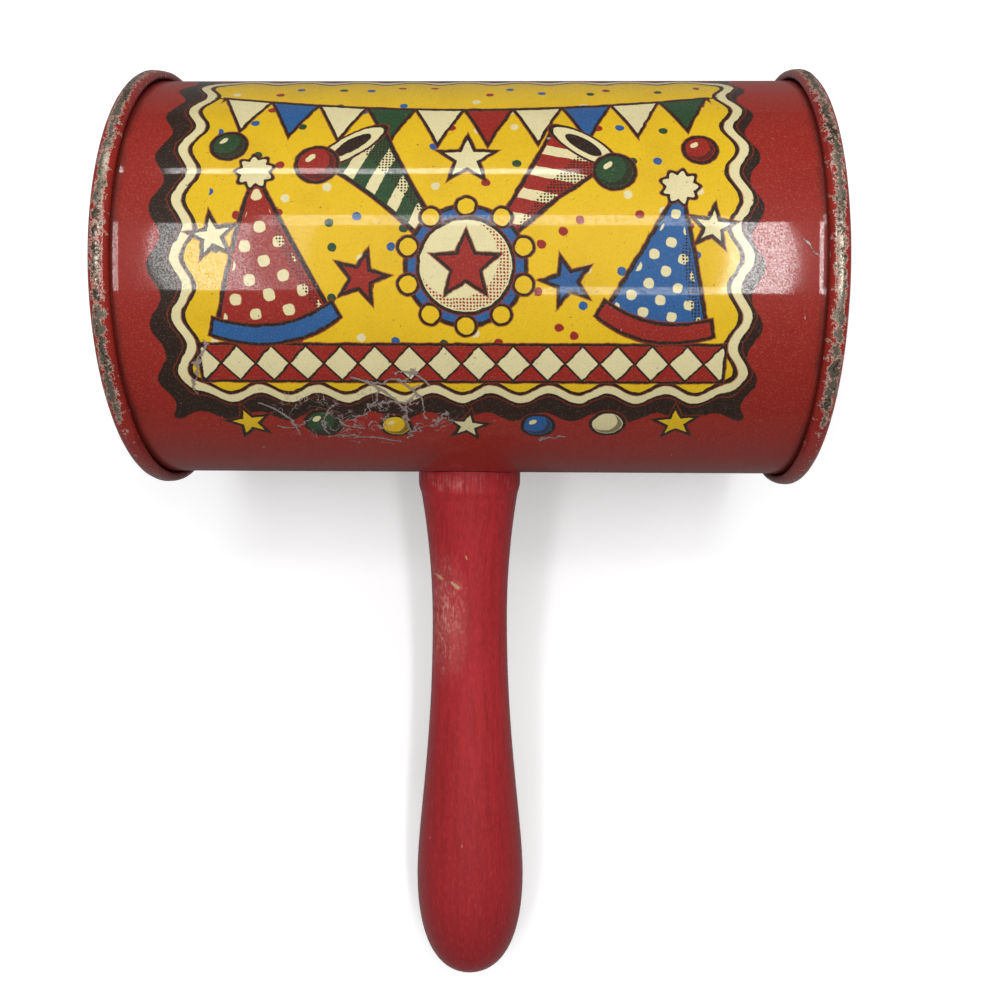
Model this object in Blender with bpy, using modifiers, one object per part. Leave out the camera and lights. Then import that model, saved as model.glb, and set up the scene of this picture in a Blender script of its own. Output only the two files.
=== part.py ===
"""Tin litho shaker noisemaker: a sealed tinplate drum of loose shot on a turned wooden handle.

The toy lies on a flat surface with its printed front up. It touches the surface with the two seamed
rims and with the swell of the handle. X is the drum's axis, the handle points towards -Y, and the
origin is on the surface under the middle of the toy. Lengths are in metres and angles in radians.
"""

import math

import bmesh
import bpy
from mathutils import Matrix, Vector
from mathutils.geometry import interpolate_bezier

# Drum
DRUM_LENGTH = 0.0882
DRUM_RADIUS = 0.0270
TIN = 0.00025
SEAM_CLEARANCE = 0.00025
SEAM_HEIGHT = 0.0025
COUNTERSINK_DEPTH = 0.0032
PANEL_STEP = 0.0008
PANEL_STEP_SLOPE = math.radians(45)
PANEL_LEDGE = 0.0060
PANEL_FILLET = 0.0005
LOCK_SEAM_WIDTH = 0.0032
LOCK_SEAM_THICKNESS = 0.0005
LOCK_SEAM_ANGLE = math.radians(62)
LOCK_SEAM_SETBACK = 0.0010
LOCK_GROOVE_WIDTH = 0.0004
LOCK_GROOVE_DEPTH = 0.0001

# Handle
HANDLE_SET_OVER = -0.0010
COLLAR_RADIUS = 0.0075
COLLAR_LENGTH = 0.0030
COLLAR_STEP = 0.0005
COLLAR_EDGE = 0.0006
COVE_LENGTH = 0.0182
NECK_RADIUS = 0.00545
SWELL_LENGTH = 0.0402
BULB_RADIUS = 0.00795
NOSE_LENGTH = 0.0143
NOSE_FLAT_RADIUS = 0.0015
COPE_STOCK = 0.0010

# Shares of a stretch's length or radius that say how full its curve is
COVE_PULL = 1 / 3
NECK_PULL = 0.48
BULB_PULL = 0.20
NOSE_PULL = 0.63
NOSE_SHOULDER = 0.69

# Nail and washer
NAIL_RADIUS = 0.0010
NAIL_GRIP = 0.0240
NAIL_POINT = 0.0030
NAIL_HEAD_RADIUS = 0.0028
NAIL_HEAD_THICKNESS = 0.0008
NAIL_TIP_RADIUS = 0.0002
WASHER_RADIUS = 0.0060
WASHER_THICKNESS = 0.0006

# Loose shot
PELLETS_PER_SIDE = 5
PELLET_RADIUS = 0.0025
PELLET_MARGIN = 0.0010

# Gap between pieces that touch, and how far a cutting tool runs past what it cuts
FIT_GAP = 0.0003
CUTTER_OVERRUN = 0.0100

# Facets
DRUM_SEGMENTS = 56
HANDLE_SEGMENTS = 40
NAIL_SEGMENTS = 16
PELLET_SEGMENTS = 12
PELLET_RINGS = 8
ARC_STEPS = 3
CURVE_POINTS = 8
MERGE_DISTANCE = 0.00001
SMOOTH_ANGLE = math.radians(35)

# Sizes that follow from those above
HALF_LENGTH = DRUM_LENGTH / 2
BORE_RADIUS = DRUM_RADIUS - TIN
SEAM_LAYER = TIN + SEAM_CLEARANCE
RIM_RADIUS = DRUM_RADIUS + 3 * SEAM_LAYER
SEAM_ROUND = 2 * SEAM_LAYER - TIN
WALL_TOP = HALF_LENGTH - SEAM_LAYER
CHUCK_OUTER = BORE_RADIUS - SEAM_CLEARANCE
CHUCK_INNER = CHUCK_OUTER - TIN
PANEL_HEIGHT = HALF_LENGTH - COUNTERSINK_DEPTH
PANEL_UNDERSIDE = PANEL_HEIGHT - TIN
STEP_RADIUS = CHUCK_INNER - PANEL_LEDGE
NAIL_HOLE_RADIUS = NAIL_RADIUS + FIT_GAP
WASHER_OUTER = BORE_RADIUS - FIT_GAP
WASHER_INNER = WASHER_OUTER - WASHER_THICKNESS
NAIL_SEAT = math.sqrt(WASHER_INNER**2 - NAIL_HEAD_RADIUS**2) - FIT_GAP
NAIL_END = DRUM_RADIUS + NAIL_GRIP
COPE_RADIUS = DRUM_RADIUS + FIT_GAP
COLLAR_END = DRUM_RADIUS + COLLAR_LENGTH
COVE_START = COLLAR_END + COLLAR_EDGE
NECK_AT = COVE_START + COVE_LENGTH
BULB_AT = NECK_AT + SWELL_LENGTH
NOSE_AT = BULB_AT + NOSE_LENGTH
PELLET_LANE = BORE_RADIUS - LOCK_SEAM_THICKNESS - FIT_GAP - PELLET_RADIUS
FIRST_PELLET = abs(HANDLE_SET_OVER) + WASHER_RADIUS + PELLET_MARGIN + PELLET_RADIUS
LAST_PELLET = PANEL_UNDERSIDE - PELLET_MARGIN - PELLET_RADIUS
PELLET_PITCH = (LAST_PELLET - FIRST_PELLET) / (PELLETS_PER_SIDE - 1)

# Finishes: colour, roughness, metallic
RED_LACQUER = (0.33, 0.035, 0.030), 0.28, 0.0
RED_STAIN = (0.36, 0.022, 0.028), 0.42, 0.0
BRIGHT_STEEL = (0.62, 0.61, 0.58), 0.35, 1.0
PLAIN_TIN = (0.58, 0.57, 0.53), 0.45, 1.0
GREY_SHOT = (0.40, 0.40, 0.41), 0.40, 1.0


def clear_scene():
    for obj in list(bpy.data.objects):
        bpy.data.objects.remove(obj, do_unlink=True)


def new_collection(name):
    collection = bpy.data.collections.new(name)
    bpy.context.scene.collection.children.link(collection)
    return collection


def finish(name, look):
    colour, roughness, metallic = look
    material = bpy.data.materials.new(name)
    material.use_nodes = True
    shader = material.node_tree.nodes["Principled BSDF"]
    shader.inputs["Base Color"].default_value = (*colour, 1)
    shader.inputs["Roughness"].default_value = roughness
    shader.inputs["Metallic"].default_value = metallic
    material.diffuse_color = (*colour, 1)
    return material


def place(name, mesh, collection, parent, material=None):
    obj = bpy.data.objects.new(name, mesh)
    collection.objects.link(obj)
    obj.parent = parent
    if material and not mesh.materials:
        mesh.materials.append(material)
    return obj


def arc(centre, radius, start, end):
    """Points round a bend of a profile, with angles in degrees from the outward direction."""
    points = []
    for step in range(ARC_STEPS + 1):
        angle = math.radians(start + (end - start) * step / ARC_STEPS)
        across, along = centre
        points.append((across + radius * math.cos(angle), along + radius * math.sin(angle)))
    return points


def curve(start, start_handle, end_handle, end):
    corners = [Vector((*point, 0)) for point in (start, start_handle, end_handle, end)]
    return [(point.x, point.y) for point in interpolate_bezier(*corners, CURVE_POINTS)]


def turned_mesh(name, profile, segments, ring=False):
    """Turns a profile of (radius, height) points, which runs down the outer side, about Z."""
    mesh = bpy.data.meshes.new(name)
    edges = [(i, i + 1) for i in range(len(profile) - 1)]
    if ring:
        edges.append((len(profile) - 1, 0))
    mesh.from_pydata([(radius, 0, height) for radius, height in profile], edges, [])
    blank = bpy.data.objects.new(name, mesh)
    bpy.context.scene.collection.objects.link(blank)
    screw = blank.modifiers.new("turn", "SCREW")
    screw.steps = segments
    screw.render_steps = segments
    screw.use_merge_vertices = True
    screw.merge_threshold = MERGE_DISTANCE
    graph = bpy.context.evaluated_depsgraph_get()
    turned = bpy.data.meshes.new_from_object(blank.evaluated_get(graph))
    turned.name = name
    bpy.data.objects.remove(blank, do_unlink=True)
    turned.shade_smooth()
    turned.set_sharp_from_angle(angle=SMOOTH_ANGLE)
    return turned


def cylinder_mesh(name, radius, length, segments, turn=None):
    """A capped cylinder about the origin, along Z unless it is turned."""
    form = bmesh.new()
    bmesh.ops.create_cone(
        form,
        cap_ends=True,
        segments=segments,
        radius1=radius,
        radius2=radius,
        depth=length,
        matrix=turn or Matrix(),
    )
    mesh = bpy.data.meshes.new(name)
    form.to_mesh(mesh)
    form.free()
    return mesh


def box_mesh(name, size):
    form = bmesh.new()
    bmesh.ops.create_cube(form, size=1, matrix=Matrix.Diagonal((*size, 1)))
    mesh = bpy.data.meshes.new(name)
    form.to_mesh(mesh)
    form.free()
    return mesh


def cut(obj, tool, operation="DIFFERENCE"):
    modifier = obj.modifiers.new(tool.name, "BOOLEAN")
    modifier.operation = operation
    modifier.object = tool


def handle_outline():
    """The handle's outer side as (radius, distance from the drum's axis), from the collar to the nose."""
    waist = COLLAR_RADIUS - COLLAR_STEP
    cove = curve(
        (waist, COVE_START),
        (waist - 2 * COVE_PULL * (waist - NECK_RADIUS), COVE_START + COVE_PULL * COVE_LENGTH),
        (NECK_RADIUS, NECK_AT - COVE_PULL * COVE_LENGTH),
        (NECK_RADIUS, NECK_AT),
    )
    swell = curve(
        (NECK_RADIUS, NECK_AT),
        (NECK_RADIUS, NECK_AT + NECK_PULL * SWELL_LENGTH),
        (BULB_RADIUS, BULB_AT - BULB_PULL * SWELL_LENGTH),
        (BULB_RADIUS, BULB_AT),
    )
    nose = curve(
        (BULB_RADIUS, BULB_AT),
        (BULB_RADIUS, BULB_AT + NOSE_PULL * NOSE_LENGTH),
        (BULB_RADIUS * NOSE_SHOULDER, NOSE_AT),
        (NOSE_FLAT_RADIUS, NOSE_AT),
    )
    return [(COLLAR_RADIUS, COLLAR_END)] + cove + swell[1:] + nose[1:]


def lying_tilt(outline):
    """How far the handle dips below level when the rims and the handle both touch the surface."""
    touching = []
    for radius, reach in outline:
        touching.append(math.asin(RIM_RADIUS / math.hypot(reach, radius)) - math.atan2(radius, reach))
    return min(touching)


def can_body(parts, cutters, parent, material):
    hook_outer = DRUM_RADIUS + 2 * SEAM_LAYER
    hook_inner = hook_outer - TIN
    hook_end = HALF_LENGTH - SEAM_HEIGHT + SEAM_LAYER
    bend = WALL_TOP - TIN
    upper_end = [
        (BORE_RADIUS, WALL_TOP),
        (hook_outer, WALL_TOP),
        (hook_outer, hook_end),
        (hook_inner, hook_end),
        (hook_inner, bend),
        (DRUM_RADIUS, bend),
    ]
    lower_end = [(radius, -height) for radius, height in reversed(upper_end)]
    mesh = turned_mesh("can_body", upper_end + lower_end, DRUM_SEGMENTS, ring=True)
    wall = place("can_body", mesh, parts, parent, material)
    wall.rotation_euler.y = math.pi / 2

    # The folded side seam: a ridge inside that stops short of the caps, and a fine groove outside.
    seam_length = 2 * (PANEL_UNDERSIDE - LOCK_SEAM_SETBACK)
    ridge_depth = LOCK_SEAM_THICKNESS + TIN / 2
    ridge = place(
        "lock_seam_ridge",
        box_mesh("lock_seam_ridge", (seam_length, LOCK_SEAM_WIDTH, ridge_depth)),
        cutters,
        parent,
    )
    groove = place(
        "lock_seam_groove",
        box_mesh("lock_seam_groove", (seam_length, LOCK_GROOVE_WIDTH, 2 * LOCK_GROOVE_DEPTH)),
        cutters,
        parent,
    )
    outward = Vector((0, math.sin(LOCK_SEAM_ANGLE), -math.cos(LOCK_SEAM_ANGLE)))
    flat_radius = DRUM_RADIUS * math.cos(math.pi / DRUM_SEGMENTS)
    ridge.location = outward * (flat_radius - TIN / 2 - ridge_depth / 2)
    groove.location = outward * flat_radius
    ridge.rotation_euler.x = LOCK_SEAM_ANGLE
    groove.rotation_euler.x = LOCK_SEAM_ANGLE
    cut(wall, ridge, "UNION")
    cut(wall, groove)

    hole = place(
        "wall_nail_hole",
        cylinder_mesh("wall_nail_hole", NAIL_HOLE_RADIUS, DRUM_RADIUS, NAIL_SEGMENTS),
        cutters,
        parent,
    )
    hole.location = (HANDLE_SET_OVER, 0, -DRUM_RADIUS)
    cut(wall, hole)
    return wall


def end_cap_mesh():
    """A pressed disc with a stepped, sunk panel and an edge rolled over the wall's hook."""
    inner_bend = SEAM_ROUND - TIN
    hook_inner = DRUM_RADIUS + SEAM_CLEARANCE
    hook_outer = hook_inner + TIN
    hook_end = WALL_TOP - SEAM_LAYER
    seam_bottom = HALF_LENGTH - SEAM_HEIGHT
    step_run = PANEL_STEP / math.tan(PANEL_STEP_SLOPE)
    slope_shift = TIN * math.tan(PANEL_STEP_SLOPE / 2)
    top_inner = (CHUCK_INNER + SEAM_ROUND, HALF_LENGTH - SEAM_ROUND)
    top_outer = (RIM_RADIUS - SEAM_ROUND, HALF_LENGTH - SEAM_ROUND)
    bottom_outer = (RIM_RADIUS - SEAM_ROUND, seam_bottom + SEAM_ROUND)
    roll = (hook_outer + TIN, seam_bottom + 2 * TIN)
    profile = [
        (0, PANEL_HEIGHT + PANEL_STEP),
        (STEP_RADIUS, PANEL_HEIGHT + PANEL_STEP),
        (STEP_RADIUS + step_run, PANEL_HEIGHT),
        (CHUCK_INNER - PANEL_FILLET, PANEL_HEIGHT),
        (CHUCK_INNER, PANEL_HEIGHT + PANEL_FILLET),
    ]
    profile += arc(top_inner, SEAM_ROUND, 180, 90)
    profile += arc(top_outer, SEAM_ROUND, 90, 0)
    profile += arc(bottom_outer, SEAM_ROUND, 0, -90)
    profile += arc(roll, 2 * TIN, 270, 180)
    profile += [(hook_inner, hook_end), (hook_outer, hook_end)]
    profile += arc(roll, TIN, 180, 270)
    profile += arc(bottom_outer, inner_bend, -90, 0)
    profile += arc(top_outer, inner_bend, 0, 90)
    profile += arc(top_inner, inner_bend, 90, 180)
    profile += [
        (CHUCK_OUTER, PANEL_UNDERSIDE + PANEL_FILLET),
        (CHUCK_OUTER - PANEL_FILLET, PANEL_UNDERSIDE),
        (STEP_RADIUS + step_run - slope_shift, PANEL_UNDERSIDE),
        (STEP_RADIUS - slope_shift, PANEL_UNDERSIDE + PANEL_STEP),
        (0, PANEL_UNDERSIDE + PANEL_STEP),
    ]
    return turned_mesh("end_cap", profile, DRUM_SEGMENTS)


def end_caps(parts, parent, material):
    mesh = end_cap_mesh()
    for side, turn in (("left", -math.pi / 2), ("right", math.pi / 2)):
        cap = place(f"{side}_end_cap", mesh, parts, parent, material)
        cap.rotation_euler.y = turn


def handle(parts, cutters, parent, material, outline):
    stock_top = math.sqrt(COPE_RADIUS**2 - COLLAR_RADIUS**2) - COPE_STOCK
    profile = [(0, -stock_top), (COLLAR_RADIUS, -stock_top)]
    profile += [(radius, -reach) for radius, reach in outline]
    profile.append((0, -NOSE_AT))
    grip = place("handle", turned_mesh("handle", profile, HANDLE_SEGMENTS), parts, parent, material)
    grip.location.x = HANDLE_SET_OVER

    # The top is hollowed to the drum's curve, and bored for the nail.
    along_drum = Matrix.Rotation(math.pi / 2, 4, "Y")
    cope_length = 2 * (COLLAR_RADIUS + CUTTER_OVERRUN)
    cope = place(
        "handle_cope",
        cylinder_mesh("handle_cope", COPE_RADIUS, cope_length, DRUM_SEGMENTS, along_drum),
        cutters,
        parent,
    )
    cope.location.x = HANDLE_SET_OVER
    bore_end = NAIL_END + FIT_GAP
    bore = place(
        "handle_bore",
        cylinder_mesh("handle_bore", NAIL_HOLE_RADIUS, bore_end, NAIL_SEGMENTS),
        cutters,
        parent,
    )
    bore.location = (HANDLE_SET_OVER, 0, -bore_end / 2)
    cut(grip, cope)
    cut(grip, bore)


def nail(parts, parent, material):
    head_top = NAIL_SEAT - NAIL_HEAD_THICKNESS
    profile = [
        (0, -head_top),
        (NAIL_HEAD_RADIUS, -head_top),
        (NAIL_HEAD_RADIUS, -NAIL_SEAT),
        (NAIL_RADIUS, -NAIL_SEAT),
        (NAIL_RADIUS, NAIL_POINT - NAIL_END),
        (NAIL_TIP_RADIUS, -NAIL_END),
        (0, -NAIL_END),
    ]
    shank = place("handle_nail", turned_mesh("handle_nail", profile, NAIL_SEGMENTS), parts, parent, material)
    shank.location.x = HANDLE_SET_OVER


def washer(parts, cutters, parent, material):
    """A round plate pressed to the drum's curve: what lies between two cylinders along the drum."""
    blank = cylinder_mesh("nail_washer", WASHER_RADIUS, 2 * WASHER_OUTER, DRUM_SEGMENTS)
    plate = place("nail_washer", blank, parts, parent, material)
    plate.location = (HANDLE_SET_OVER, 0, -WASHER_OUTER)
    along_drum = Matrix.Rotation(math.pi / 2, 4, "Y")
    across = 2 * (WASHER_RADIUS + CUTTER_OVERRUN)
    through = 2 * (WASHER_OUTER + CUTTER_OVERRUN)
    tools = (
        ("washer_outside", WASHER_OUTER, across, DRUM_SEGMENTS, along_drum, "INTERSECT"),
        ("washer_inside", WASHER_INNER, across, DRUM_SEGMENTS, along_drum, "DIFFERENCE"),
        ("washer_hole", NAIL_HOLE_RADIUS, through, NAIL_SEGMENTS, None, "DIFFERENCE"),
    )
    for name, radius, length, segments, turn, operation in tools:
        tool = place(name, cylinder_mesh(name, radius, length, segments, turn), cutters, parent)
        tool.location.x = HANDLE_SET_OVER
        cut(plate, tool, operation)


def pellets(parts, drum_centre, material):
    """A row of shot along the lowest line of the drum, spread between the nail's washer and the ends."""
    form = bmesh.new()
    bmesh.ops.create_uvsphere(form, u_segments=PELLET_SEGMENTS, v_segments=PELLET_RINGS, radius=PELLET_RADIUS)
    mesh = bpy.data.meshes.new("rattle_pellet")
    form.to_mesh(mesh)
    form.free()
    mesh.shade_smooth()
    stations = [FIRST_PELLET + PELLET_PITCH * i for i in range(PELLETS_PER_SIDE)]
    stations = [-x for x in reversed(stations)] + stations
    for number, station in enumerate(stations, start=1):
        ball = place(f"rattle_pellet_{number:02d}", mesh, parts, drum_centre, material)
        ball.location = (station, 0, -PELLET_LANE)


def build():
    clear_scene()
    parts = new_collection("shaker_noisemaker")
    cutters = new_collection("shaker_cutters")
    outline = handle_outline()
    tilt = lying_tilt(outline)
    reach = max(far * math.cos(tilt) + radius * math.sin(tilt) for radius, far in outline)

    # The pellets roll about the drum's centre. The toy is upright in its own frame, and laid down.
    drum_centre = place("drum_centre", None, parts, None)
    drum_centre.location = (0, (reach - RIM_RADIUS) / 2, RIM_RADIUS)
    upright = place("upright_toy", None, parts, drum_centre)
    upright.rotation_euler.x = tilt - math.pi / 2

    lacquer = finish("red_lacquered_tin", RED_LACQUER)
    can_body(parts, cutters, upright, lacquer)
    end_caps(parts, upright, finish("red_end_tin", RED_LACQUER))
    handle(parts, cutters, upright, finish("red_stained_wood", RED_STAIN), outline)
    nail(parts, upright, finish("bright_steel", BRIGHT_STEEL))
    washer(parts, cutters, upright, finish("plain_tin", PLAIN_TIN))
    pellets(parts, drum_centre, finish("grey_shot", GREY_SHOT))
    for tool in cutters.objects:
        tool.hide_render = True
        tool.display_type = "WIRE"


build()
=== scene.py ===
import math

import bmesh
import bpy
from mathutils import Euler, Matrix, Vector, noise as solidNoise
from mathutils.geometry import interpolate_bezier


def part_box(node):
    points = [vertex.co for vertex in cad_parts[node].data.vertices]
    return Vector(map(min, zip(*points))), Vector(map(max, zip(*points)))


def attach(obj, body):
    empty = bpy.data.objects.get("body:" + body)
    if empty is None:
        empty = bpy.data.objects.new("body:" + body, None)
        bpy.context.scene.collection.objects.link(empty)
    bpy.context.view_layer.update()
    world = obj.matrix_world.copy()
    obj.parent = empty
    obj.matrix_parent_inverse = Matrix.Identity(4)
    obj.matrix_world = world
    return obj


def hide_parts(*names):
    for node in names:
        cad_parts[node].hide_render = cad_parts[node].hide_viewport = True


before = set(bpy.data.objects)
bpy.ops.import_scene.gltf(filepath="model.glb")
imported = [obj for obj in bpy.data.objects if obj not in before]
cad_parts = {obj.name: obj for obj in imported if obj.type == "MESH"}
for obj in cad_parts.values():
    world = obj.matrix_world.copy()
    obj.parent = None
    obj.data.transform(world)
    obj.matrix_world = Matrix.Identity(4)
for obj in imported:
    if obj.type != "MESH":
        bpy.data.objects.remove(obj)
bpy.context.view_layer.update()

# where the toy lies: the drum's centre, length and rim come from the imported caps
capLow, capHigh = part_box("right_end_cap")
drumCentre = Vector((0, (capLow[1] + capHigh[1]) / 2, (capLow[2] + capHigh[2]) / 2))
halfLength = capHigh[0]
rimRadius = (capHigh[1] - capLow[1]) / 2
handleDip = math.radians(12.86)  # how far the handle slopes down to the floor
handleWay = Vector((0, -math.cos(handleDip), -math.sin(handleDip)))
frontWay = Vector((0, -math.sin(handleDip), math.cos(handleDip)))
drumWay = Vector((1, 0, 0))
toyBody = "toy"
toMillimetres = 1000

# inks, as linear colour
inks = {
    "red": (0.305, 0.019, 0.013),
    "yellow": (0.760, 0.480, 0.010),
    "cream": (0.740, 0.655, 0.360),
    "key": (0.026, 0.014, 0.010),
    "fringe": (0.200, 0.026, 0.012),
    "blue": (0.020, 0.105, 0.290),
    "green": (0.022, 0.066, 0.026),
    "maroon": (0.105, 0.008, 0.007),
}


# small tools for wiring nodes: each works on the material begun last
bench = {"tree": None}


def startMaterial(name):
    material = bpy.data.materials.new(name)
    material.use_nodes = True
    bench["tree"] = material.node_tree
    return material, material.node_tree.nodes["Principled BSDF"]


def plug(value, socket):
    if isinstance(value, bpy.types.NodeSocket):
        bench["tree"].links.new(value, socket)
    elif socket.type == "RGBA":
        socket.default_value = (*value, 1)
    else:
        socket.default_value = value


def addNode(kind, operation=None, **inputs):
    node = bench["tree"].nodes.new("ShaderNode" + kind)
    if operation:
        node.operation = operation
    for name, value in inputs.items():
        plug(value, node.inputs[name])
    return node


def calc(operation, *values, clamp=False):
    node = addNode("Math", operation)
    node.use_clamp = clamp
    for value, socket in zip(values, node.inputs):
        plug(value, socket)
    return node.outputs[0]


def vectorCalc(operation, first, second):
    node = addNode("VectorMath", operation)
    plug(first, node.inputs[0])
    plug(second, node.inputs["Scale" if operation == "SCALE" else 1])
    return node.outputs["Value" if operation in ("DOT_PRODUCT", "LENGTH") else "Vector"]


def lay(under, over, mask):
    node = addNode("Mix")
    node.data_type = "RGBA"
    for value, name in ((mask, "Factor_Float"), (under, "A_Color"), (over, "B_Color")):
        plug(value, next(socket for socket in node.inputs if socket.identifier == name))
    return next(socket for socket in node.outputs if socket.identifier == "Result_Color")


def noise(place, scale, detail=2.0, roughness=0.5, distortion=0.0):
    node = addNode("TexNoise", Vector=place, Scale=scale, Detail=detail, Roughness=roughness)
    node.inputs["Distortion"].default_value = distortion
    return node.outputs["Fac"]


def rise(value, low, high):  # 0 below low, 1 above high; or falling, where high is the smaller
    return calc("MULTIPLY_ADD", value, 1 / (high - low), -low / (high - low), clamp=True)


def pick(value, names):  # one flat ink of several, by a value from 0 to 1
    node = addNode("ValToRGB", Fac=value)
    node.color_ramp.interpolation = "CONSTANT"
    elements = node.color_ramp.elements
    while len(elements) < len(names):
        elements.new(1)
    for i, name in enumerate(names):
        elements[i].position = i / len(names)
        elements[i].color = (*inks[name], 1)
    return node.outputs["Color"]


def bump(height, strength, distance, under=None):
    node = addNode("Bump", Strength=strength, Distance=distance, Height=height)
    if under:
        plug(under, node.inputs["Normal"])
    return node.outputs["Normal"]


def toyPlace():  # place on the toy in millimetres, from the drum's centre
    fromCentre = vectorCalc("SUBTRACT", addNode("TexCoord").outputs["Object"], drumCentre)
    return vectorCalc("SCALE", fromCentre, toMillimetres)


def along(place, way):
    return vectorCalc("DOT_PRODUCT", place, way)


def stretched(place, factors):
    return vectorCalc("MULTIPLY", place, factors)


def flatPlace(x, y):
    return addNode("CombineXYZ", X=x, Y=y).outputs[0]


# shapes of the print: each gives the distance in millimetres from a motif's edge, negative inside
def placed(x, y, spot, turn=0):
    c, s = math.cos(math.radians(turn)), math.sin(math.radians(turn))
    across, up = spot
    newX = calc("MULTIPLY_ADD", x, c, calc("MULTIPLY_ADD", y, s, -c * across - s * up))
    newY = calc("MULTIPLY_ADD", x, -s, calc("MULTIPLY_ADD", y, c, s * across - c * up))
    return newX, newY


def reach(x, y):
    return calc("SQRT", calc("MULTIPLY_ADD", x, x, calc("MULTIPLY", y, y)))


def disc(x, y, radius):
    return calc("SUBTRACT", reach(x, y), radius)


def size(value, half):
    return calc("SUBTRACT", calc("ABSOLUTE", value), half)


def both(*distances):
    found = distances[0]
    for other in distances[1:]:
        found = calc("MAXIMUM", found, other)
    return found


def flipped(distance):
    return calc("MULTIPLY", distance, -1)


def starShape(x, y, radius, points=5, waist=0.42):
    sector = math.pi / points
    turn = calc("ABSOLUTE", calc("WRAP", calc("ARCTAN2", x, y), sector, -sector))
    far = reach(x, y)
    sideX, sideY = calc("MULTIPLY", far, calc("SINE", turn)), calc("MULTIPLY", far, calc("COSINE", turn))
    inX, inY = radius * waist * math.sin(sector), radius * waist * math.cos(sector)
    edgeLong = math.hypot(inX, radius - inY)
    normalX, normalY = (radius - inY) / edgeLong, inX / edgeLong
    return calc("MULTIPLY_ADD", sideX, normalX, calc("MULTIPLY_ADD", sideY, normalY, -normalY * radius))


def inside(distance, grow=0.0, soft=0.06):  # 1 within the edge, with the ink's slight spread
    return calc("MULTIPLY_ADD", distance, -1 / soft, grow / soft + 0.5, clamp=True)


keyLine = {"line": 0.40, "fringe": 0.13, "overlap": 0.05}


def inked(canvas, distance, fill, line=keyLine["line"]):  # red fringe, dark outline, flat fill
    canvas = lay(canvas, inks["fringe"], inside(distance, line + keyLine["fringe"], 0.15))
    canvas = lay(canvas, inks["key"], inside(distance, line))
    return lay(canvas, fill, inside(distance, -keyLine["overlap"]))


# the print: a generic party design on a yellow panel, once on the front and once on the back
panel = {
    "middle": 111,  # degrees round the drum from the handle
    "setOver": -0.8,
    "halfWide": 31.6,
    "halfHigh": 23.0,
    "scallop": 0.75,
    "scallopPitch": 7.0,
    "corner": 3.0,
    "border": 1.7,
    "shadow": 1.9,
    "shadowDrop": (-0.7, -1.1),
}
bunting = {"height": 17.0, "sag": 3.0, "half": 30.0, "pitch": 6.0, "drop": 6.2, "cord": 0.16,
           "inks": ("red", "cream", "blue", "cream", "green", "cream")}
diamonds = {"foot": -22.1, "high": 4.6, "half": 31.0, "wide": 2.05, "line": 0.13}
confetti = {"cell": 4.4, "radius": 0.52, "inks": ("red", "blue", "cream", "green", "red")}
hats = [
    {"spot": (-21.8, -15.4), "turn": 8, "tall": 18.5, "wide": 14.0, "dots": 4.0,
     "ink": "red", "trim": "blue", "shade": "maroon"},
    {"spot": (22.6, -15.3), "turn": -10, "tall": 16.5, "wide": 12.4, "dots": 3.4,
     "ink": "blue", "trim": "red", "shade": "key"},
]
horns = [
    {"spot": (-0.6, -8.0), "turn": 129, "long": 20.0, "mouth": 0.75, "bell": 4.3, "stripe": 3.6,
     "ink": "green"},
    {"spot": (1.8, -8.0), "turn": 51, "long": 20.0, "mouth": 0.75, "bell": 4.3, "stripe": 3.6,
     "ink": "red"},
]
tambourine = {"spot": (0.6, -8.0), "radius": 6.8, "skin": 5.4, "jingles": 10, "jingle": 1.05, "star": 3.6}
stars = [
    {"spot": (-29.0, -4.6), "radius": 2.3, "turn": 10, "ink": "cream"},
    {"spot": (-11.6, -9.4), "radius": 2.6, "turn": -14, "ink": "red"},
    {"spot": (0.6, 5.4), "radius": 3.0, "turn": 0, "ink": "cream"},
    {"spot": (12.4, -9.8), "radius": 2.4, "turn": 16, "ink": "blue"},
    {"spot": (29.2, -3.4), "radius": 2.1, "turn": -8, "ink": "cream"},
    {"spot": (-26.6, -28.9), "radius": 2.3, "turn": 12, "ink": "yellow"},
    {"spot": (0.5, -29.4), "radius": 2.1, "turn": -10, "ink": "cream"},
    {"spot": (26.2, -28.7), "radius": 2.4, "turn": 6, "ink": "yellow"},
    {"spot": (-18.0, 29.8), "radius": 2.2, "turn": 8, "ink": "cream"},
    {"spot": (18.0, 29.8), "radius": 2.2, "turn": -8, "ink": "yellow"},
]
balls = [
    {"spot": (-17.2, 4.6), "radius": 2.3, "ink": "red"},
    {"spot": (-28.0, 7.4), "radius": 1.9, "ink": "green"},
    {"spot": (18.0, 3.6), "radius": 2.2, "ink": "green"},
    {"spot": (28.2, 6.8), "radius": 1.8, "ink": "red"},
    {"spot": (-17.4, -29.0), "radius": 2.1, "ink": "green"},
    {"spot": (-8.4, -29.5), "radius": 1.7, "ink": "yellow"},
    {"spot": (9.2, -29.3), "radius": 1.8, "ink": "blue"},
    {"spot": (17.8, -28.9), "radius": 1.9, "ink": "cream"},
    {"spot": (7.0, 30.0), "radius": 2.2, "ink": "blue"},
    {"spot": (-6.0, 30.2), "radius": 1.8, "ink": "green"},
]
halftone = {"pitch": 0.39, "turn": 45}


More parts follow.
